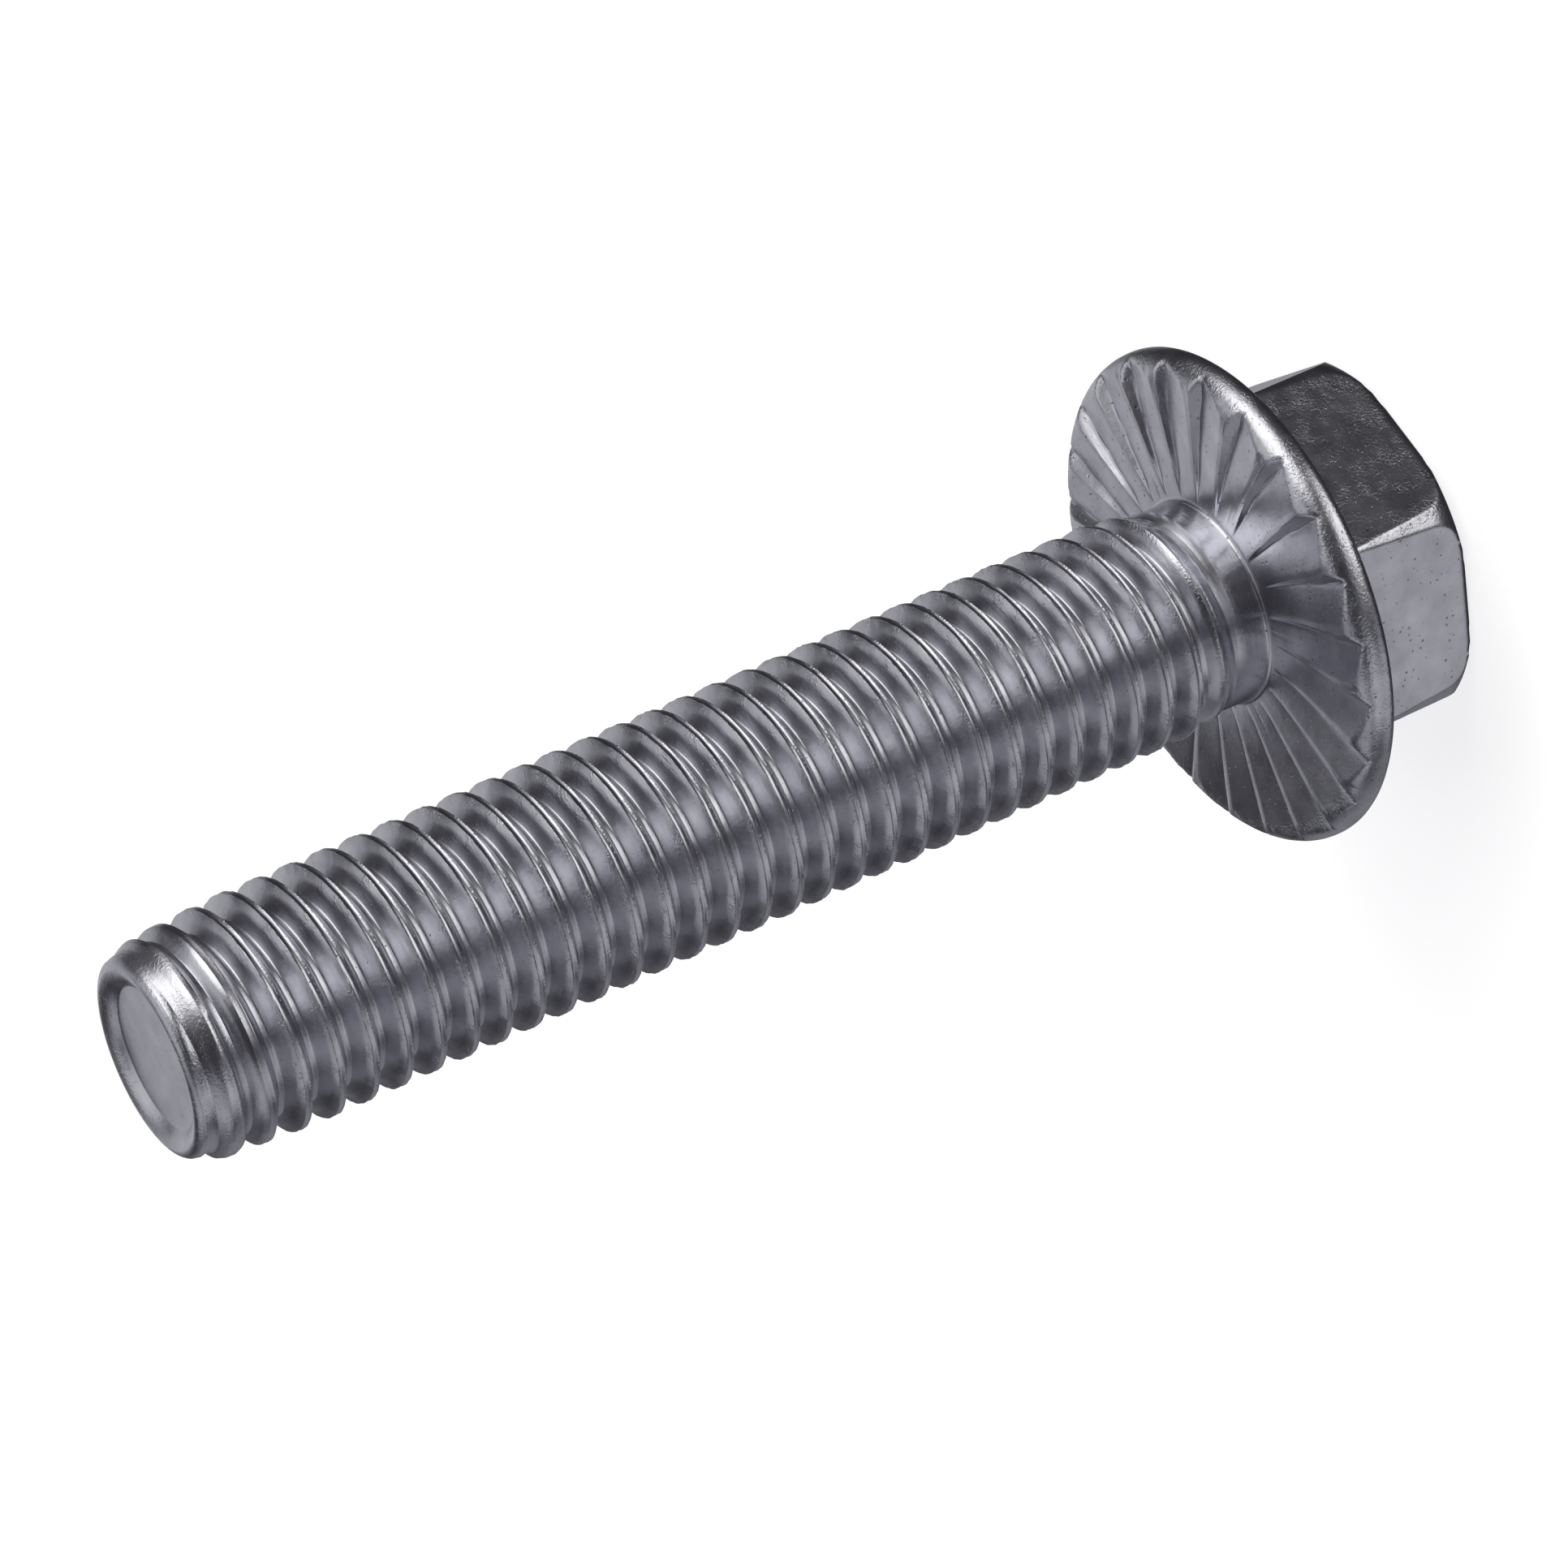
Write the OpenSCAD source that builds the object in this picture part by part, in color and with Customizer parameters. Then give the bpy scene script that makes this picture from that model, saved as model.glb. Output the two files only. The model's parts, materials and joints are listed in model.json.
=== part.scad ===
/* [Thread] */
// Length of the shank, from the bearing plane under the flange to the tip
shank_l = 50.2; // [30:0.1:80]
// Diameter over the thread crests
thread_d = 9.76; // [9.7:0.02:10]
// Distance from one thread crest to the next
pitch = 1.5; // [1.25:0.05:1.75]
// Depth of the thread, from crest to root
thread_depth = 0.9; // [0.8:0.01:0.95]
// Width of the flat that the rolling leaves on each crest
crest_w = 0.27; // [0.15:0.01:0.35]
// Width of the groove at its root
root_w = 0.27; // [0.15:0.01:0.35]
// Length over which the thread fades out beside the neck
runout_l = 2.4; // [1.5:0.1:3.5]
// Direction in which the thread starts, seen from the tip
thread_turn = 300; // [0:1:359]

/* [Tip] */
// Diameter of the rolled rim round the end of the shank
tip_d = 8.45; // [8.4:0.05:9]
// Rounding radius of the rolled rim
tip_r = 0.55; // [0.4:0.05:0.55]
// Diameter over the first crest behind the rim, which the rolling fills least
first_crest_d = 9.24; // [9.1:0.02:9.6]
// Length over which the crests grow to their full height
point_l = 6; // [4:0.1:8]
// Length over which the groove fades out behind the rim
fade_l = 1.6; // [1.4:0.1:3]
// Diameter of the flat floor of the dish in the end
dish_d = 5.9; // [5:0.1:6.5]
// Depth of the dish in the end
dish_depth = 0.45; // [0.2:0.05:0.8]
// Diameter of the dish at its upper edge, where it meets the rim
dish_rim_d = 7.3; // [6.7:0.05:7.3]

/* [Neck] */
// Diameter of the plain neck between thread and flange
neck_d = 8.9; // [8.8:0.05:9.5]
// Length of the neck, from the bearing plane
neck_l = 1.7; // [1.2:0.1:3]
// Radius of the fillet where the neck meets the flange
neck_fillet = 0.35; // [0.3:0.05:0.8]

/* [Flange] */
// Outside diameter of the flange
flange_d = 21.8; // [20:0.1:23]
// Thickness of the flange at its edge
flange_edge = 1.5; // [1.2:0.1:2]
// Rounding radius of the edge on the bearing side
edge_r = 1.05; // [0.5:0.05:1.05]
// Rounding radius of the edge on the head side
edge_back_r = 0.4; // [0.3:0.05:0.6]
// Slope of the flange's domed back where it meets the edge, in degrees
back_slope = 24; // [18:1:30]

/* [Serrations] */
// Number of ratchet teeth round the bearing face
teeth = 24; // [16:1:30]
// Height of a tooth's steep face at its outer end
tooth_h = 0.42; // [0.2:0.02:0.6]
// Diameter at which the teeth fade out next to the neck
teeth_inner_d = 9.8; // [9.7:0.1:12]
// Share of each tooth that stays as a flat land
land_share = 0.12; // [0.05:0.01:0.3]
// Share of each tooth that its steep face takes at its outer end
steep_share = 0.13; // [0.05:0.01:0.25]
// Direction of the first land's sharp edge, seen from the tip
tooth_turn = 14.5; // [0:0.5:359]

/* [Head] */
// Height of the head, flange included
head_h = 8.2; // [7:0.1:9.2]
// Width of the hexagon across its flats
across_flats = 14.75; // [14.4:0.05:15]
// Width of the hexagon across its blunt corners
across_corners = 16.9; // [16.4:0.05:17.2]
// Diameter at which the rounding of the corners meets the top of the head
shoulder_d = 14.1; // [13.9:0.1:14.5]
// Rounding radius of the corners round the top of the head
shoulder_r = 1.4; // [1.3:0.05:2]
// Width of the bevel that breaks the edges between flats and top
edge_break = 0.35; // [0.2:0.05:0.5]

/* [Hidden] */
$fn = 96;
bearing_z = head_h;
tip_z = head_h + shank_l;
crest_r = thread_d / 2;
root_r = crest_r - thread_depth;
neck_r = neck_d / 2;
rim_r = tip_d / 2;
rim_z = tip_z - tip_r;
flange_r = flange_d / 2;
// Least height of the band between the roundings of the flange's edge
edge_band = 0.05;
front_r = min(edge_r, flange_edge - edge_back_r - edge_band);
flat_r = flange_r - front_r;
fade_r = teeth_inner_d / 2;
flank_w = (pitch - crest_w - root_w) / 2;

// Depth to which one shape reaches into the next, so that they join
embed = 1;
// Depth to which the ends of the thread lie under the neck and under the rim
sunk = 0.12;
// Height of the caps that close the thread inside the neck and inside the rim
cap_h = 0.2;
// Height of the cylindrical band under the rim's rounding
rim_band = 0.25;

// Helical thread lines: distance along the axis and radius of each line of one turn
line_z = [0, root_w, root_w + flank_w, root_w + flank_w + crest_w];
line_r = [root_r, root_r, crest_r, crest_r];
lines = len(line_z);
steps = 24;

// The thread starts inside the neck and ends inside the rolled rim
start_z = bearing_z + neck_l - pitch;
end_z = rim_z - rim_band;
count = floor((end_z - cap_h - start_z) / pitch * steps);

// Smooth step from 0 to 1 as x goes from a to b
function blend(x, a, b) = let (t = min(1, max(0, (x - a) / (b - a)))) t * t * (3 - 2 * t);

// Radius of the shank where the thread has not formed it, beside the neck and beside the tip
function plain_r(z) = (z < (start_z + end_z) / 2 ? neck_r : rim_r) - sunk;

// How fully the thread is formed at height z
function formed(z) =
    blend(z, bearing_z + neck_l - pitch / 2, bearing_z + neck_l + runout_l) *
    (1 - blend(z, tip_z - fade_l, rim_z));

// How much lower a crest is at height z than a full crest
function unfilled(z) = (crest_r - first_crest_d / 2) * blend(z, tip_z - point_l, rim_z);

// Radius at height z of a line whose full radius is r
function thread_r(r, z) =
    let (filled = r > root_r ? r - unfilled(z) : r)
    plain_r(z) + (filled - plain_r(z)) * formed(z);

// Point i steps along the helix on line j. The last turn is squeezed under the end plane.
function helix_point(i, j) =
    let (
        turn_z = start_z + i * pitch / steps,
        z = turn_z + line_z[j] * min(1, (end_z - turn_z) / line_z[lines - 1]),
        r = thread_r(line_r[j], z),
        a = thread_turn + i * 360 / steps
    )
    [r * cos(a), r * sin(a), z];

function ring(z, r) = [for (i = [0:steps - 1])
    let (a = thread_turn + i * 360 / steps) [r * cos(a), r * sin(a), z]];

// Triangles from one hub to each pair of neighbours in a list
function fan(hub, side) = [for (k = [0:len(side) - 2]) [hub, side[k], side[k + 1]]];

module rolled_shank() {
    low_z = start_z - cap_h;
    high_z = end_z + cap_h;
    turn = count % steps;
    last = count - steps;
    helix = [for (i = [0:count], j = [0:lines - 1]) helix_point(i, j)];
    low_0 = len(helix);
    high_0 = low_0 + steps;
    low_mid = high_0 + steps;
    high_mid = low_mid + 1;
    points = concat(
        helix,
        ring(low_z, neck_r - sunk),
        ring(high_z, rim_r - sunk),
        [[0, 0, low_z], [0, 0, high_z]]
    );
    at = function (i, j) i * lines + j;
    low = function (i) low_0 + i % steps;
    high = function (i) high_0 + i % steps;
    // Bands between neighbouring lines of the same turn
    bands = [for (i = [0:count - 1], j = [0:lines - 2]) each [
        [at(i, j), at(i + 1, j + 1), at(i + 1, j)],
        [at(i, j), at(i, j + 1), at(i + 1, j + 1)]
    ]];
    // Band between the last line of a turn and the first line of the next
    seams = [for (i = [0:last - 1]) each [
        [at(i, lines - 1), at(i + steps + 1, 0), at(i + 1, lines - 1)],
        [at(i, lines - 1), at(i + steps, 0), at(i + steps + 1, 0)]
    ]];
    // Wall and disc that close the end inside the neck
    low_wall = [for (i = [0:steps - 2]) each [
        [low(i), at(i + 1, 0), low(i + 1)],
        [low(i), at(i, 0), at(i + 1, 0)]
    ]];
    low_step = fan(at(steps - 1, 0), concat(
        [at(steps, 0)],
        [for (j = [lines - 1:-1:0]) at(0, j)],
        [low(0), low(steps - 1)]
    ));
    low_disc = [for (i = [0:steps - 1]) [low_mid, low(i), low(i + 1)]];
    // Wall and disc that close the end inside the rolled rim
    high_wall = [for (i = [1:steps - 1]) each [
        [at(last + i, lines - 1), high(turn + i), high(turn + i + 1)],
        [at(last + i, lines - 1), high(turn + i + 1), at(last + i + 1, lines - 1)]
    ]];
    high_step = fan(at(last + 1, lines - 1), concat(
        [at(last, lines - 1)],
        [for (j = [0:lines - 1]) at(count, j)],
        [high(turn), high(turn + 1)]
    ));
    high_disc = [for (i = [0:steps - 1]) [high_mid, high(i + 1), high(i)]];
    faces = concat(bands, seams, low_wall, low_step, low_disc, high_wall, high_step, high_disc);
    polyhedron(points, faces, convexity = 12);
}

// Closed end of the shank: a rolled rim round a shallow dish
module rolled_rim() {
    core_r = root_r - sunk;
    band_z = rim_z - rim_band;
    difference() {
        rotate_extrude() {
            polygon([
                [0, band_z - 2 * embed],
                [core_r, band_z - 2 * embed],
                [core_r, band_z - embed / 2],
                [rim_r, band_z],
                [rim_r, rim_z],
                [rim_r - tip_r, tip_z],
                [0, tip_z]
            ]);
            translate([rim_r - tip_r, rim_z]) circle(tip_r);
        }
        // The cutter's wall passes through the upper edge and ends as far above it
        translate([0, 0, tip_z - dish_depth])
            cylinder(d1 = dish_d, d2 = 2 * dish_rim_d - dish_d, h = 2 * dish_depth);
    }
}

module neck() {
    foot_r = neck_r + neck_fillet;
    rotate_extrude() difference() {
        union() {
            translate([0, bearing_z - embed]) square([neck_r, neck_l + embed]);
            translate([0, bearing_z - embed]) square([foot_r, neck_fillet + embed]);
        }
        translate([foot_r, bearing_z + neck_fillet]) circle(neck_fillet);
    }
}

// Disc of the flange, with a rounded edge and a domed back that rises to the hexagon
module flange_disc() {
    back_z = bearing_z - flange_edge + edge_back_r;
    back_x = flange_r - edge_back_r;
    leave_x = back_x + edge_back_r * sin(back_slope);
    leave_z = back_z - edge_back_r * cos(back_slope);
    dome_r = leave_x / sin(back_slope);
    rotate_extrude() {
        intersection() {
            translate([0, leave_z + dome_r * cos(back_slope)]) circle(dome_r);
            square([leave_x, bearing_z]);
        }
        polygon([
            [0, leave_z],
            [leave_x, leave_z],
            [flange_r, back_z],
            [flange_r, bearing_z - front_r],
            [flat_r, bearing_z],
            [0, bearing_z]
        ]);
        translate([flat_r, bearing_z - front_r]) circle(front_r);
        translate([back_x, back_z]) circle(edge_back_r);
    }
}

// Space in front of one steep face: it starts flat, deepens outwards and towards the face
module tooth_gap() {
    span = 360 / teeth;
    inset = 0.2;
    radii = [fade_r - inset, flange_r + embed];
    // How deep the gap is at radius r, as a share of its depth at the edge of the flat face
    reach = function (r) (r - fade_r) / (flat_r - fade_r);
    // Least share of the steep face's width that is left where the teeth fade out
    narrow = 0.1;
    steep = function (r) steep_share * max(narrow, reach(r));
    // The gap's upper edges lie a hair above the bearing plane, so that the land stays whole
    hair = 0.001;
    depth = function (r, t) t == 0 ? -hair : tooth_h * t * reach(r);
    // Ramp from the land down to the foot of the steep face, and then that face's upper edge
    ramp = [0, 0.25, 0.5, 0.75, 1];
    n = len(ramp) + 1;
    top = 2 * n;
    low = [for (r = radii) each concat(
        [for (t = ramp)
            let (a = span * (land_share + (1 - land_share - steep(r)) * t))
            [r * cos(a), r * sin(a), bearing_z - depth(r, t)]],
        [[r * cos(span), r * sin(span), bearing_z - depth(r, 0)]]
    )];
    high = [for (p = low) [p[0], p[1], bearing_z + embed]];
    floor_faces = [for (i = [0:n - 2]) each [
        [i, n + i + 1, i + 1],
        [i, n + i, n + i + 1]
    ]];
    top_faces = [for (i = [0:n - 2]) each [
        [top + i, top + i + 1, top + n + i + 1],
        [top + i, top + n + i + 1, top + n + i]
    ]];
    inner_faces = [for (i = [0:n - 2]) each [
        [i, top + i + 1, top + i],
        [i, i + 1, top + i + 1]
    ]];
    outer_faces = [for (i = [0:n - 2]) each [
        [n + i, top + n + i + 1, n + i + 1],
        [n + i, top + n + i, top + n + i + 1]
    ]];
    ends = [
        [0, top + n, n],
        [0, top, top + n],
        [n - 1, top + 2 * n - 1, top + n - 1],
        [n - 1, 2 * n - 1, top + 2 * n - 1]
    ];
    polyhedron(
        concat(low, high),
        concat(floor_faces, top_faces, inner_faces, outer_faces, ends),
        convexity = 4
    );
}

module serrated_flange() {
    difference() {
        flange_disc();
        for (i = [0:teeth - 1]) rotate([0, 0, tooth_turn + i * 360 / teeth]) tooth_gap();
    }
}

// Hexagon with blunt corners, rounded off towards its flat top, which faces down
module hexagon() {
    prism_h = bearing_z - embed;
    flats = across_flats - 2 * edge_break;
    shoulder_x = shoulder_d / 2;
    intersection() {
        rotate([0, 0, 30]) cylinder(d = across_flats / cos(30), h = prism_h, $fn = 6);
        rotate([0, 0, 30])
            cylinder(d1 = flats / cos(30), d2 = (flats + 2 * prism_h) / cos(30), h = prism_h, $fn = 6);
        cylinder(d = across_corners, h = prism_h);
        rotate_extrude() {
            square([shoulder_x, bearing_z]);
            translate([0, shoulder_r]) square([shoulder_x + shoulder_r, bearing_z]);
            translate([shoulder_x, shoulder_r]) circle(shoulder_r);
        }
    }
}

module flange_bolt() {
    color("slategray") {
        hexagon();
        serrated_flange();
        neck();
        rolled_shank();
        rolled_rim();
    }
}

flange_bolt();
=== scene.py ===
import json
from math import asin, atan2, cos, hypot, pi, radians, sin, sqrt

import bmesh
import bpy
from mathutils import Matrix, Vector, noise


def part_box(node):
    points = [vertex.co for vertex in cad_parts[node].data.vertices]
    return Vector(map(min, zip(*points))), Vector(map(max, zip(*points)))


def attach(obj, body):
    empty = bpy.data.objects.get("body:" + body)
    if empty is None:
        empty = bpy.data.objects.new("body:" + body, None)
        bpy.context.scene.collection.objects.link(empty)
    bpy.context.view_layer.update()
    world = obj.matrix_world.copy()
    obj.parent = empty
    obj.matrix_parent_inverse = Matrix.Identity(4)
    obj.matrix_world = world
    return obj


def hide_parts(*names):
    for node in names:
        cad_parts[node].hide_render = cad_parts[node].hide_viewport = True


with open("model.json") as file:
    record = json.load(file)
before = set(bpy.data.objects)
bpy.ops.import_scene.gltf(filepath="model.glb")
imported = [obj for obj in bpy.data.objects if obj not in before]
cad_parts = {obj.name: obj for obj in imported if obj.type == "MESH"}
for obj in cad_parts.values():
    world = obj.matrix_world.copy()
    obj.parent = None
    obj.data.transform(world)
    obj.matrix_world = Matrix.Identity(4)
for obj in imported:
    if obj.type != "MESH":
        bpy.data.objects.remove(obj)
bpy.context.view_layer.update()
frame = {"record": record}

# Head blank: hexagon, flange and neck are cold-forged from one length of steel wire, under a
# punch that leaves the hexagon's corners rounded towards the top and the flange's rim soft.
# All sizes are in millimetres until the finished bolt is scaled to metres.
mounts = {mount["name"]: mount for mount in frame["record"]["mounts"]}
bearing_z = mounts["bearing_face"]["pos_m"][2] * 1000
flat_r = mounts["hexagon"]["pos_m"][0] * 1000
flange_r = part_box("flange_bolt")[1].x * 1000
head_columns = 720
top_round, foot_round = 0.55, 0.35
corner_r, corner_draft = 8.3, 0.045
shoulder_w, shoulder_h = 1.15, 1.5
shoulder_rows = (0.7, 0.85, 1, 1.15, 1.3, shoulder_h)
rim_round, rim_back_round = 1.05, 0.4
rim_back_bevel = rim_back_round * 0.8
flange_edge = 1.5
back_slope = radians(24)
back_rows = (8.5, 9.5)
teeth_inner_r = 4.9
neck_r, neck_fillet, neck_h = 4.45, 0.2, 0.4
neck_top = bearing_z + neck_h


def outline(corners):
    """Half section in the XZ plane, from rows of r, z, rounding width and rounding segments."""
    section = bmesh.new()
    verts = [section.verts.new((r, 0, z)) for r, z, _, _ in corners]
    for pair in zip(verts, verts[1:]):
        section.edges.new(pair)
    for vert, (_, _, width, segments) in zip(verts, corners):
        if width:
            bmesh.ops.bevel(section, geom=[vert], offset=width, offset_type="OFFSET",
                            segments=segments, profile=0.5, affect="VERTICES", material=-1)
    return section


def split(section, low, high, cuts):
    """Cuts the longest edge of a section whose middle lies between two corners (r, z)."""
    middle = lambda edge: (edge.verts[0].co + edge.verts[1].co) / 2
    slack = 0.01
    chosen = [edge for edge in section.edges
              if low[0] - slack < middle(edge).x < high[0] + slack
              and low[1] - slack < middle(edge).z < high[1] + slack]
    longest = max(chosen, key=lambda edge: edge.calc_length())
    bmesh.ops.subdivide_edges(section, edges=[longest], cuts=cuts)


def lathe(section, columns):
    """Turns a section round the bolt's axis: a sixth of a turn, and then copies of that."""
    bmesh.ops.spin(section, geom=section.verts[:] + section.edges[:], cent=(0, 0, 0),
                   axis=(0, 0, 1), angle=pi / 3, steps=columns // 6, use_merge=False)
    bmesh.ops.spin(section, geom=section.verts[:] + section.edges[:] + section.faces[:],
                   cent=(0, 0, 0), axis=(0, 0, 1), angle=pi * 5 / 3, steps=5,
                   use_duplicate=True)
    bmesh.ops.remove_doubles(section, verts=section.verts[:], dist=0.0002)


# The back is a dome that meets the rounding at the back of the rim without a kink
leave_x = flange_r - rim_back_round * (1 - sin(back_slope))
leave_z = bearing_z - flange_edge + rim_back_round * (1 - cos(back_slope))
dome_r = leave_x / sin(back_slope)


def back_z(r):
    """Height of the flange's domed back at radius r."""
    return leave_z + dome_r * cos(back_slope) - sqrt(dome_r ** 2 - r ** 2)


wall_z = back_z(flat_r)
head = outline([
    (0, 0, 0, 0),
    (flat_r, 0, top_round, 5),
    *((flat_r, z, 0, 0) for z in shoulder_rows),
    (flat_r, wall_z, foot_round, 3),
    *((r, back_z(r), 0, 0) for r in back_rows),
    (flange_r, bearing_z - flange_edge, rim_back_bevel, 4),
    (flange_r, bearing_z, rim_round, 9),
    (teeth_inner_r, bearing_z, 0, 0),
    (neck_r, bearing_z, neck_fillet, 6),
    (neck_r, neck_top, 0, 0),
])
split(head, (0, 0), (flat_r, 0), 2)
split(head, (flat_r, 0), (flat_r, wall_z), 6)
split(head, (teeth_inner_r, bearing_z), (flange_r, bearing_z), 5)
lathe(head, head_columns)


def corner_growth(angle):
    """How much farther out the hexagon is at this angle than at the middle of a flat."""
    off_middle = (angle + pi / 6) % (pi / 3) - pi / 6
    return flat_r * (1 / cos(off_middle) - 1)


def corner_limit(z):
    """Largest radius of the hexagon at height z: a blunt corner with a little draft, rounded
    off in a shoulder towards the head's top."""
    drop = max(0, 1 - z / shoulder_h)
    blunt = corner_r + corner_draft * (z - shoulder_h)
    return blunt - shoulder_w * (1 - sqrt(1 - drop ** 2))


# The round blank is pressed out to the hexagon, and the dome follows it
for vert in head.verts:
    x, y, z = vert.co
    r = hypot(x, y)
    if z > bearing_z - flange_edge / 2 or r > leave_x or r == 0:
        continue
    growth = min(corner_growth(atan2(y, x)), corner_limit(z) - flat_r)
    if r > flat_r:
        new_r = r + growth * (leave_x - r) / (leave_x - flat_r)
    else:
        new_r = min(r + growth * r / flat_r, corner_limit(z))
    z += (back_z(new_r) - back_z(r)) * min(1, z / wall_z)
    vert.co = (x * new_r / r, y * new_r / r, z)

# Ratchet teeth: ramps pressed into the bearing face, each ending in a steep face that bites
# against loosening. They fade out at the neck and run out through the rounded rim, a little
# torn at their outer ends. The punch sits slightly off the shank's axis, and so does the rim.
teeth = 24
tooth_turn = radians(14.5)
tooth_h = 0.42
land_share, steep_share = 0.12, 0.17
inner_h_share, inner_steep_share = 0.15, 0.4
hollow_share, hollow_power = 0.12, 16
tooth_end_r = flange_r - 0.75 * rim_round
torn_depth, torn_width, torn_rate = 0.12, 0.5, 2.5
off_centre = -0.15


def tooth_depth(r, angle):
    """Depth below the bearing plane: a flat land, a ramp that ends in a hollow, a steep face."""
    outward = (r - teeth_inner_r) / (flange_r - rim_round - teeth_inner_r)
    # A hair's turn keeps each mesh column that lies on a tooth's edge on one side of it
    hair = 0.0001
    turn = ((angle - tooth_turn) * teeth / (2 * pi) + hair) % 1
    steep = steep_share * (inner_steep_share + (1 - inner_steep_share) * outward)
    foot_depth = tooth_h * (inner_h_share + (1 - inner_h_share) * outward)
    if turn > 1 - steep:
        return foot_depth * (1 - turn) / steep
    ramp = max(0, turn - land_share) / (1 - land_share - steep)
    return foot_depth * ((1 - hollow_share) * ramp + hollow_share * ramp ** hollow_power)


for vert in head.verts:
    x, y, z = vert.co
    r = hypot(x, y)
    if r > teeth_inner_r and z > bearing_z - flange_edge / 2:
        near_end = max(0, 1 - abs(r - tooth_end_r) / torn_width)
        torn = torn_depth * max(0, noise.noise(vert.co * torn_rate)) * near_end
        vert.co.z = min(z - torn, bearing_z - tooth_depth(r, atan2(y, x)))
    if z > wall_z:
        outward = (r - flat_r) / (flange_r - rim_round - flat_r)
        vert.co.x += off_centre * min(1, max(0, outward))

# Thread: a right-hand M10 helix rolled into the shank between dies. The steel flows up into
# the crests and leaves a shallow seam between two lips; near the tip the crests fill less,
# and the groove closes to a seam on the rim.
tip_z = mounts["thread"]["pos_m"][2] * 1000
crest_r = mounts["thread"]["dims"]["r_mm"]
pitch, thread_depth = 1.5, 0.9
crest_w, root_w = 0.27, 0.27
seam_depth, lip_w = 0.045, 0.06
crest_bevel, root_bevel = 0.03, 0.04
thread_turn = radians(300)
thread_columns = 96
neck_l, runout_l = 1.7, 2.4
rim_r, tip_round = 4.225, 0.5
point_l, fade_l, first_crest_r = 6, 1.4, 4.62
groove_end_slope, groove_end_depth = 0.27, 0.07
narrowing, narrow_turns = 2, 2.5
nick_reach, nick_share, nick_rate = 0.1, 0.4, 3
seam_rise = 0.28
bridge_h = 0.05
rim_z = tip_z - tip_round
seam_end_z = rim_z + seam_rise
root_r = crest_r - thread_depth
flank_w = (pitch - crest_w - root_w) / 2
thread = outline([
    (root_r, 0, 0, 0),
    (root_r, root_w / 2, root_bevel, 2),
    (crest_r, root_w / 2 + flank_w, crest_bevel, 2),
    (crest_r - seam_depth, root_w / 2 + flank_w + lip_w, 0, 0),
    (crest_r - seam_depth, pitch - root_w / 2 - flank_w - lip_w, 0, 0),
    (crest_r, pitch - root_w / 2 - flank_w, crest_bevel, 2),
    (root_r, pitch - root_w / 2, root_bevel, 2),
    (root_r, pitch, 0, 0),
])
flank_middle_r, flank_reach = (root_r + crest_r) / 2, 0.2
for low_z in (0, pitch / 2):
    split(thread, (flank_middle_r - flank_reach, low_z),
          (flank_middle_r + flank_reach, low_z + pitch / 2), 1)

# One turn of the helix, then copies of it, from below the neck's top to beyond the tip
turns = int((tip_z - bearing_z) / pitch) + 3
start_z = bearing_z + neck_l - pitch + root_w / 2 - pitch
bmesh.ops.rotate(thread, verts=thread.verts[:], matrix=Matrix.Rotation(thread_turn, 3, "Z"))
bmesh.ops.translate(thread, verts=thread.verts[:], vec=(0, 0, start_z))
bmesh.ops.spin(thread, geom=thread.verts[:] + thread.edges[:], cent=(0, 0, 0),
               axis=(0, 0, 1), dvec=(0, 0, pitch / thread_columns), angle=2 * pi,
               steps=thread_columns, use_merge=False)
bmesh.ops.spin(thread, geom=thread.verts[:] + thread.edges[:] + thread.faces[:],
               cent=(0, 0, 0), axis=(0, 0, 1), dvec=(0, 0, pitch), angle=2 * pi * turns,
               steps=turns, use_duplicate=True)
bmesh.ops.remove_doubles(thread, verts=thread.verts[:], dist=0.001)


def smooth_step(value, low, high):
    """Goes smoothly from 0 to 1 while value goes from low to high."""
    share = min(1, max(0, (value - low) / (high - low)))
    return share * share * (3 - 2 * share)


def rim_radius(z):
    """Radius of the rim at height z: a plain band, and above it the rounding towards the end."""
    return rim_r - tip_round + sqrt(max(0, tip_round ** 2 - max(0, z - rim_z) ** 2))


def neck_radius(r, z):
    """Radius at height z, beside the neck, of a point whose full radius is r."""
    formed = smooth_step(z, bearing_z + neck_l - pitch / 2, bearing_z + neck_l + runout_l)
    return neck_r + (r - neck_r) * formed


def point_radius(r, z):
    """Radius at height z, beside the tip, where crests shrink and the groove closes to a seam."""
    unfilled = (crest_r - first_crest_r) * smooth_step(z, tip_z - point_l, rim_z)
    crest = crest_r - unfilled
    crest += (rim_radius(z) - crest) * smooth_step(z, tip_z - fade_l, rim_z)
    depth = min(crest - root_r, groove_end_depth + groove_end_slope * max(0, rim_z - z))
    narrow = 1 + narrowing * smooth_step(z, tip_z - narrow_turns * pitch, rim_z)
    return crest - depth * max(0, (crest_r - r) / thread_depth) ** narrow


def thread_radius(r, z):
    """Radius at height z of a point whose radius is r where the thread is fully formed."""
    return neck_radius(r, z) if z < tip_z / 2 else point_radius(r, z)


for vert in thread.verts:
    x, y, z = vert.co
    r = hypot(x, y)
    nick = max(0, r - crest_r + nick_reach) * noise.noise(vert.co * nick_rate)
    new_r = thread_radius(r - nick_share * nick, z)
    vert.co = (x * new_r / r, y * new_r / r, z)
for plane_z, side in ((neck_top + bridge_h, -1), (seam_end_z, 1)):
    bmesh.ops.bisect_plane(thread, geom=thread.verts[:] + thread.edges[:] + thread.faces[:],
                           dist=0.00001, plane_co=(0, 0, plane_z), plane_no=(0, 0, side),
                           clear_outer=True)
bmesh.ops.remove_doubles(thread, verts=thread.verts[:], dist=0.002)

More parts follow.
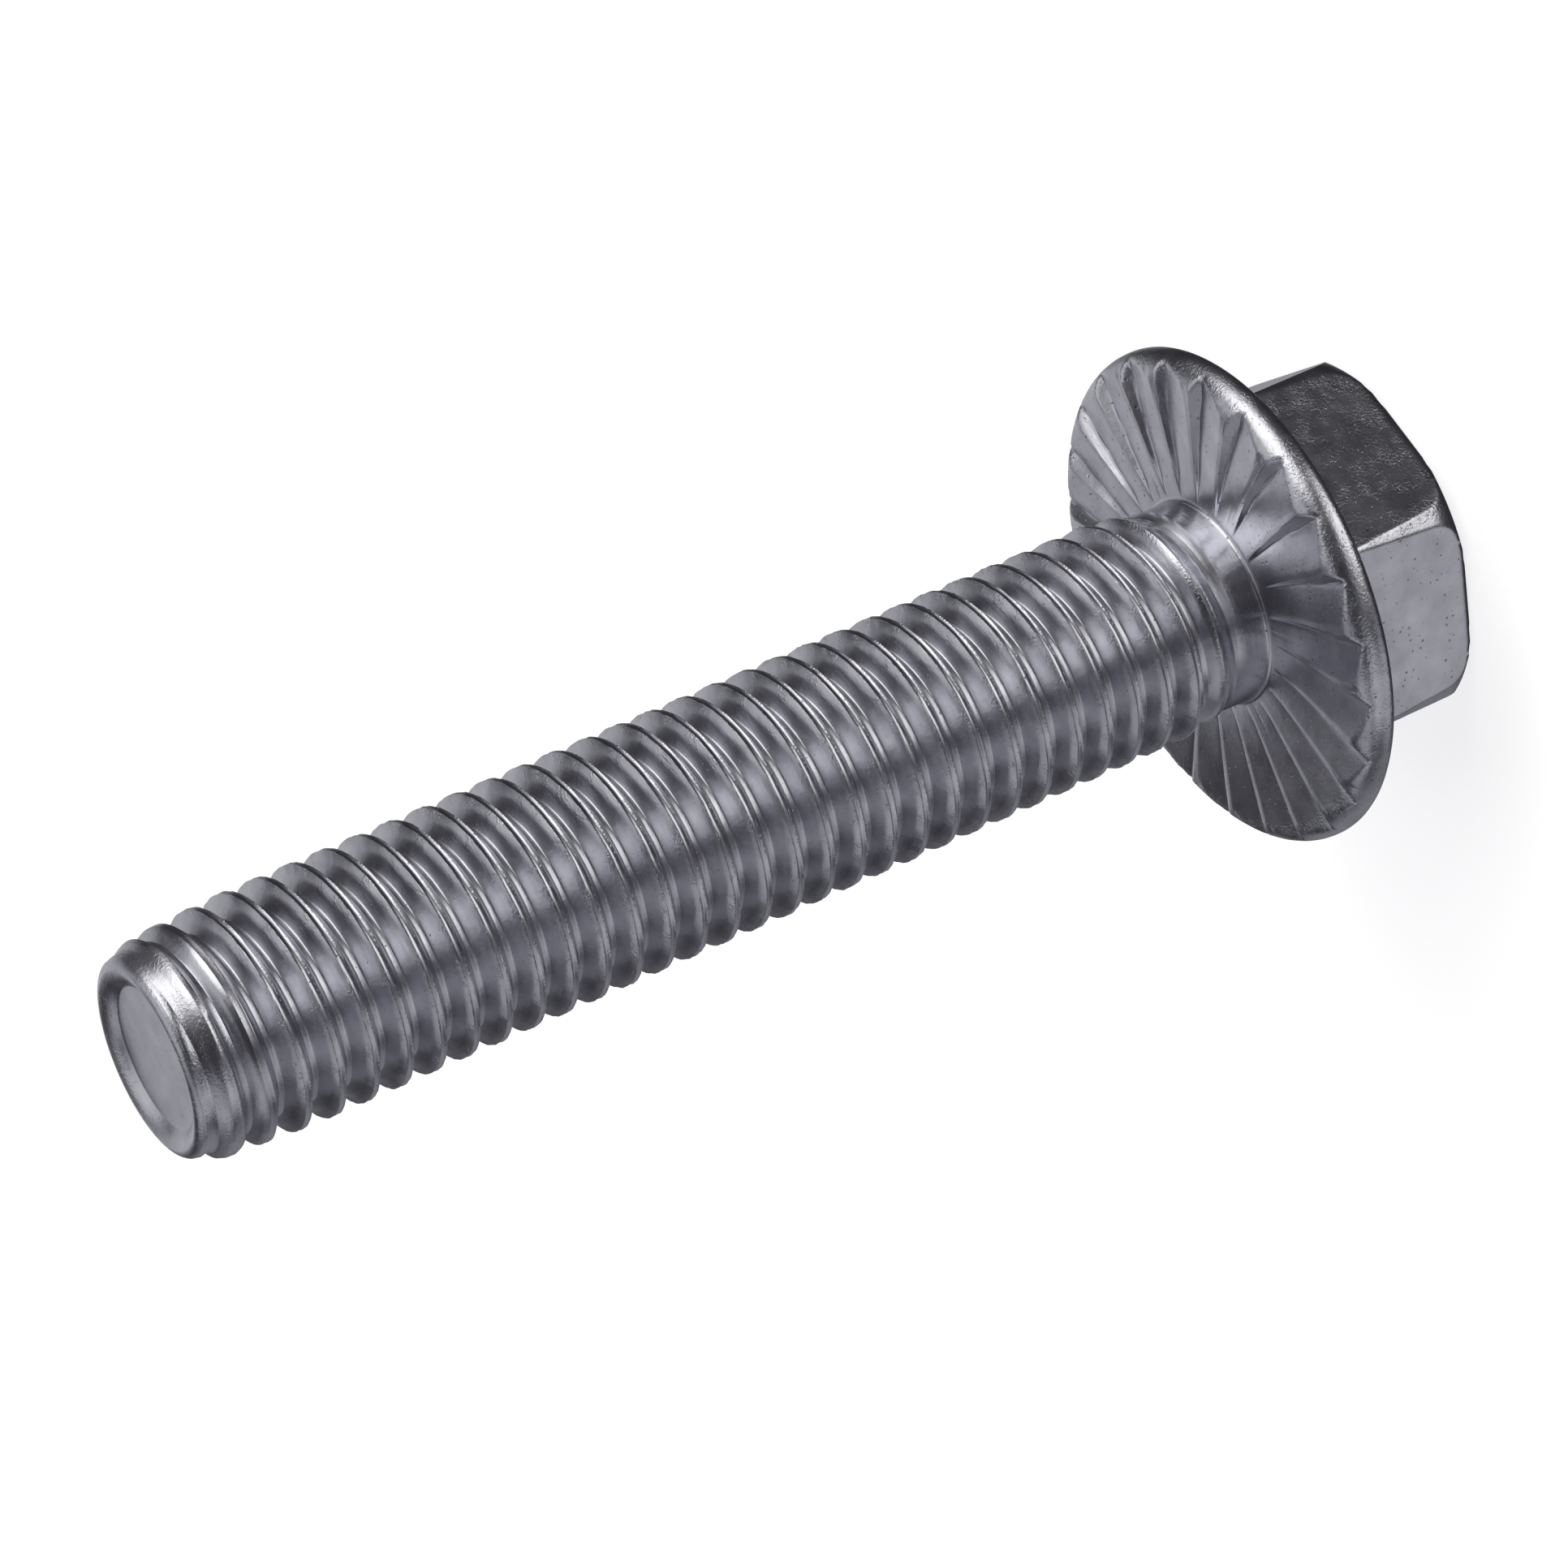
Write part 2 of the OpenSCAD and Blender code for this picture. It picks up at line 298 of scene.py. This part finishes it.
# Tip: rolling draws the skin of the shank over its sawn end, which leaves a rounded rim
# round a shallow dish.
dish_r, dish_depth = 2.98, 0.45
dish_rim_r, dish_rim_drop = 3.3, 0.18
dish_rim_round, dish_foot_round = 0.16, 0.07
rim_steps = 8
first_turn = asin((seam_end_z - rim_z) / tip_round)
rim_turns = [first_turn + (pi / 2 - first_turn) * i / rim_steps for i in range(rim_steps + 1)]
tip = outline([
    *((rim_r - tip_round * (1 - cos(turn)), rim_z + tip_round * sin(turn), 0, 0)
      for turn in rim_turns),
    (dish_rim_r, tip_z - dish_rim_drop, dish_rim_round, 3),
    (dish_r, tip_z - dish_depth, dish_foot_round, 3),
    (0, tip_z - dish_depth, 0, 0),
])
split(tip, (0, tip_z - dish_depth), (dish_r, tip_z - dish_depth), 6)
lathe(tip, thread_columns)

# One piece: head, thread and tip are the same steel, so their open rings are bridged and the
# whole is one closed skin.
bolt_mesh = bpy.data.meshes.new("flange_bolt_skin")
bolt = bmesh.new()
for part in (head, thread, tip):
    part.to_mesh(bolt_mesh)
    bolt.from_mesh(bolt_mesh)
    part.free()
ring_reach = 0.1
for ring_z in (neck_top, seam_end_z):
    ring = [edge for edge in bolt.edges if edge.is_boundary
            and all(abs(vert.co.z - ring_z) < ring_reach for vert in edge.verts)]
    bmesh.ops.bridge_loops(bolt, edges=ring)
bmesh.ops.recalc_face_normals(bolt, faces=bolt.faces[:])

# Skin: it keeps the marks of how it was made. The press leaves its own grain on each flat and
# on the rim, rolling leaves two rough lips along the crests, and the tip is a little hammered.
# The flats' shares start with the flat that faces +X and go anticlockwise, seen from the tip.
flat_marks = (0.5, 0.8, 0.7, 0.6, 0.25, 1)
rim_marks, tip_marks = 1, 0.75
rim_marks_fade = 0.1
lip_low, lip_high = 0.026, 0.014
forged = bolt.verts.layers.float.new("forged")
rolled = bolt.verts.layers.float.new("rolled")
lips = bolt.verts.layers.float.new("lips")
for vert in bolt.verts:
    x, y, z = vert.co
    r = hypot(x, y)
    if z > neck_top:
        crest = thread_radius(crest_r, z)
        beyond_neck = smooth_step(z, bearing_z + neck_l, bearing_z + neck_l + pitch)
        before_tip = smooth_step(tip_z - z, 2 * pitch, 3 * pitch)
        on_lip = smooth_step(r, crest - lip_low, crest - lip_high)
        near_rim = smooth_step(z, rim_z - 2 * pitch, rim_z) * smooth_step(r, dish_r, dish_rim_r)
        vert[forged] = tip_marks * near_rim
        vert[lips] = on_lip * beyond_neck * before_tip
        vert[rolled] = 1
    elif z > bearing_z - flange_edge / 2:
        marks_start = flange_r - rim_round - rim_marks_fade
        vert[forged] = rim_marks * smooth_step(r, marks_start, flange_r - rim_round / 2)
    elif z > wall_z:
        vert[forged] = rim_marks
    else:
        vert[forged] = flat_marks[round(atan2(y, x) / (pi / 3)) % 6]
bmesh.ops.scale(bolt, verts=bolt.verts[:], vec=(0.001, 0.001, 0.001))
bolt.to_mesh(bolt_mesh)
bolt.free()
bolt_mesh.shade_smooth()
bolt_mesh.set_sharp_from_angle(angle=radians(42))
flange_bolt = bpy.data.objects.new("flange_bolt_plated", bolt_mesh)
bpy.context.scene.collection.objects.link(flange_bolt)

# Bright zinc plating: a thin electroplated coat over the forged and rolled steel. It gives the
# eye a satin metal in a cool, light grey, with soft reflections, faint clouds and pits, whose
# darker grey is painted shade.
# Its true grain is too fine to show, so all grain here is drawn a tenth of a millimetre or more.


def linear(hex_colour):
    """sRGB hex colour to linear RGBA."""
    parts = [int(hex_colour[i:i + 2], 16) / 255 for i in (1, 3, 5)]
    return [p / 12.92 if p <= 0.04045 else ((p + 0.055) / 1.055) ** 2.4 for p in parts] + [1]


def add(tree, kind, inputs=(), **settings):
    """Adds a node; inputs are (socket, value or socket to link) pairs."""
    node = tree.nodes.new(kind)
    for name, value in settings.items():
        setattr(node, name, value)
    for socket, value in inputs:
        if isinstance(value, bpy.types.NodeSocket):
            tree.links.new(value, node.inputs[socket])
        else:
            node.inputs[socket].default_value = value
    return node


zinc = bpy.data.materials.new("bright_zinc_plated_steel")
zinc.use_nodes = True
tree = zinc.node_tree
shader = tree.nodes["Principled BSDF"]
shader.inputs["Metallic"].default_value = 1
place = add(tree, "ShaderNodeTexCoord").outputs["Object"]
millimetres = add(tree, "ShaderNodeVectorMath", ((0, place), ("Scale", 1000)),
                  operation="SCALE").outputs[0]
ring_marks = add(tree, "ShaderNodeVectorMath", ((0, millimetres), (1, (0.3, 0.3, 7))),
                 operation="MULTIPLY").outputs[0]
marks = {name: add(tree, "ShaderNodeAttribute", attribute_name=name).outputs["Fac"]
         for name in ("forged", "rolled", "lips")}

# The press's frosting lies in patches on the forged skin
patch_size = 0.9
patches = add(tree, "ShaderNodeTexNoise", (
    ("Vector", millimetres), ("Scale", 1 / patch_size), ("Detail", 3))).outputs[0]
patches = add(tree, "ShaderNodeMapRange", (
    ("Value", patches), ("From Min", 0.35), ("From Max", 0.65), ("To Min", 0.2)),
    interpolation_type="SMOOTHSTEP").outputs[0]
frosted = add(tree, "ShaderNodeMath", ((0, patches), (1, marks["forged"])),
              operation="MULTIPLY").outputs[0]

# Relief in mm, in this order: grain of the plating and its faint orange peel all over, the
# frosting, the dies' streaks on the rolled skin, and its torn lips. Each row gives the
# coordinates, the grain's size and detail, the noise below which it is flat, depth and mask.
relief = 0
for coordinates, grain, detail, least, depth, mask in (
        (millimetres, 0.1, 1, 0, 0.003, None),
        (millimetres, 0.5, 3, 0, 0.012, None),
        (millimetres, 0.11, 2, 0.45, 0.035, frosted),
        (ring_marks, 1, 3, 0, 0.01, marks["rolled"]),
        (millimetres, 0.12, 2, 0.4, 0.06, marks["lips"])):
    bumps = add(tree, "ShaderNodeTexNoise", (
        ("Vector", coordinates), ("Scale", 1 / grain), ("Detail", detail))).outputs[0]
    bumps = add(tree, "ShaderNodeMapRange", (
        ("Value", bumps), ("From Min", least), ("To Max", 1 - least))).outputs[0]
    if mask:
        bumps = add(tree, "ShaderNodeMath", ((0, bumps), (1, mask)),
                    operation="MULTIPLY").outputs[0]
    relief = add(tree, "ShaderNodeMath", ((0, bumps), (1, depth), (2, relief)),
                 operation="MULTIPLY_ADD").outputs[0]

# Pits: small craters, one or none to each cell of a warped pattern, with their shade painted in
# below as a darker grey. Their size is a share of the spacing. Most are far smaller than the
# largest, and rolling closes them by half.
pit_spacing, pit_size, pit_depth = 0.24, 0.4, 0.01
pit_warp, pit_warp_size = 0.14, 0.2
rolled_pit_share = 0.5
wander = add(tree, "ShaderNodeTexNoise", (
    ("Vector", millimetres), ("Scale", 1 / pit_warp_size))).outputs["Color"]
uneven = add(tree, "ShaderNodeVectorMath", (
    (0, wander), (1, (pit_warp, pit_warp, pit_warp)), (2, millimetres)),
    operation="MULTIPLY_ADD").outputs[0]
craters = add(tree, "ShaderNodeTexVoronoi", (("Vector", uneven), ("Scale", 1 / pit_spacing)))
chance = add(tree, "ShaderNodeSeparateXYZ", ((0, craters.outputs["Color"]),)).outputs[0]
pit_reach = add(tree, "ShaderNodeMath", ((0, chance), (1, 2)), operation="POWER").outputs[0]
pit_reach = add(tree, "ShaderNodeMath", ((0, pit_reach), (1, pit_size)),
                operation="MULTIPLY").outputs[0]
kept = add(tree, "ShaderNodeMath", ((0, marks["rolled"]), (1, rolled_pit_share - 1), (2, 1)),
           operation="MULTIPLY_ADD").outputs[0]
pit_reach = add(tree, "ShaderNodeMath", ((0, pit_reach), (1, kept)),
                operation="MULTIPLY").outputs[0]
pits = add(tree, "ShaderNodeMapRange", (
    ("Value", craters.outputs["Distance"]), ("From Min", pit_reach), ("From Max", 0)),
    interpolation_type="SMOOTHSTEP").outputs[0]
relief = add(tree, "ShaderNodeMath", ((0, pits), (1, -pit_depth), (2, relief)),
             operation="MULTIPLY_ADD").outputs[0]
bump = add(tree, "ShaderNodeBump", (("Height", relief), ("Distance", 0.001)))
tree.links.new(bump.outputs[0], shader.inputs["Normal"])

# The plating is a cool, light grey with faint clouds; the pits are painted a darker grey, which
# is painted shade in the craters
cloud_size = 1.2
clouds = add(tree, "ShaderNodeTexNoise", (
    ("Vector", millimetres), ("Scale", 1 / cloud_size), ("Detail", 5))).outputs[0]
plating = add(tree, "ShaderNodeMix", (
    ("Factor", clouds), (6, linear("#a6a6b0")), (7, linear("#eaeaf2"))),
    data_type="RGBA").outputs[2]
# Painted shade: the darker grey mixed in here darkens each pit as if shade fell in it
plating = add(tree, "ShaderNodeMix", (
    ("Factor", pits), (6, plating), (7, linear("#76767e"))), data_type="RGBA").outputs[2]
tree.links.new(plating, shader.inputs["Base Color"])
satin = add(tree, "ShaderNodeMapRange", (
    ("Value", clouds), ("To Min", 0.25), ("To Max", 0.33))).outputs[0]
tree.links.new(satin, shader.inputs["Roughness"])
bolt_mesh.materials.append(zinc)
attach(flange_bolt, "root")
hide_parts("flange_bolt")

# Floor: a plain pale sheet that glows a little, so that it stays nearly white under the dim
# studio. The bolt doesn't mirror it, and it throws no shadow on the light from below.
floor_mesh = bpy.data.meshes.new("floor")
floor_form = bmesh.new()
bmesh.ops.create_grid(floor_form, x_segments=1, y_segments=1, size=1.5)
floor_form.to_mesh(floor_mesh)
floor_form.free()
floor = bpy.data.objects.new("floor", floor_mesh)
bpy.context.scene.collection.objects.link(floor)
pale = bpy.data.materials.new("floor_pale")
pale.use_nodes = True
pale_shader = pale.node_tree.nodes["Principled BSDF"]
pale_shader.inputs["Base Color"].default_value = linear("#f2f2f4")
pale_shader.inputs["Roughness"].default_value = 0.9
pale_shader.inputs["Emission Color"].default_value = linear("#ffffff")
pale_shader.inputs["Emission Strength"].default_value = 0.72
floor_mesh.materials.append(pale)
floor.visible_glossy = False
floor.visible_shadow = False

# Studio: a dim room with soft boxes round the bolt. Each row gives a box's azimuth and height
# in degrees, its half width in degrees, how much of that is soft edge, and its brightness.
# The first box also carries the room's own dim light, and dim light is slightly bluer.
soft_boxes = (
    (-28, 24, 36, 25, 2),
    (-5, 0, 22, 15, 0.65),
    (-78, -31, 26, 16, 1.6),
    (-98, -7, 20, 14, 0.3),
    (20, 70, 40, 28, 0.65),
    (78, 13, 35, 25, 0.55),
    (170, 45, 34, 24, 0.45),
    (-148, 8, 30, 22, 0.6),
    (-155, -35, 30, 20, 0.5),
    (140, -15, 42, 32, 0.25),
    (86, -26, 22, 14, 0.5),
)
room_brightness = 0.03
world = bpy.data.worlds.new("studio")
bpy.context.scene.world = world
world.use_nodes = True
studio = world.node_tree
direction = add(studio, "ShaderNodeTexCoord").outputs["Generated"]
light = None
for azimuth, height, half_width, soft_edge, brightness in soft_boxes:
    azimuth, height = radians(azimuth), radians(height)
    middle = (cos(height) * cos(azimuth), cos(height) * sin(azimuth), sin(height))
    nearness = add(studio, "ShaderNodeVectorMath", ((0, direction), (1, middle)),
                   operation="DOT_PRODUCT").outputs["Value"]
    glow = add(studio, "ShaderNodeMapRange", (
        ("Value", nearness), ("From Min", cos(radians(half_width))),
        ("From Max", cos(radians(half_width - soft_edge))), ("To Max", brightness),
        ("To Min", 0 if light else room_brightness)), interpolation_type="SMOOTHSTEP").outputs[0]
    light = add(studio, "ShaderNodeMath", ((0, light), (1, glow))).outputs[0] if light else glow
background = studio.nodes["Background"]
tint = add(studio, "ShaderNodeMix", (
    ("Factor", light), (6, linear("#f3f3ff")), (7, linear("#fffffa"))),
    data_type="RGBA").outputs[2]
studio.links.new(tint, background.inputs["Color"])
studio.links.new(light, background.inputs["Strength"])

# Camera: from the tip's side, a little above, and rolled so that the bolt lies across the
# frame from its tip at the lower left to its head at the upper right. The target is a point
# on the bolt's axis, in metres, and is seen at target_px of the photograph's frame.
frame_px, sensor_mm = 1932, 36
target, target_px = Vector((0, 0, 0.00781)), (1496.36, 736.51)
camera_azimuth, camera_height, camera_roll = radians(-86.05), radians(23.95), 4.303
distance, px_per_metre = 0.2767, 29668
toward = Vector((cos(camera_height) * cos(camera_azimuth),
                 cos(camera_height) * sin(camera_azimuth), sin(camera_height)))
side = (-toward).cross(Vector((0, 0, 1))).normalized()
upward = toward.cross(side)
right = cos(camera_roll) * side + sin(camera_roll) * upward
up = -sin(camera_roll) * side + cos(camera_roll) * upward
off_x = (target_px[0] - frame_px / 2) / px_per_metre
off_y = (target_px[1] - frame_px / 2) / px_per_metre
camera_data = bpy.data.cameras.new("camera")
camera_data.sensor_width = sensor_mm
camera_data.lens = sensor_mm * px_per_metre * distance / frame_px
camera_data.clip_start, camera_data.clip_end = 0.01, 20
camera = bpy.data.objects.new("camera", camera_data)
bpy.context.scene.collection.objects.link(camera)
eye = target + toward * distance - right * off_x + up * off_y
camera.matrix_world = Matrix.Translation(eye) @ \
    Matrix((right, up, toward)).transposed().to_4x4()
bpy.context.scene.camera = camera
bpy.context.scene.view_settings.view_transform = "Standard"
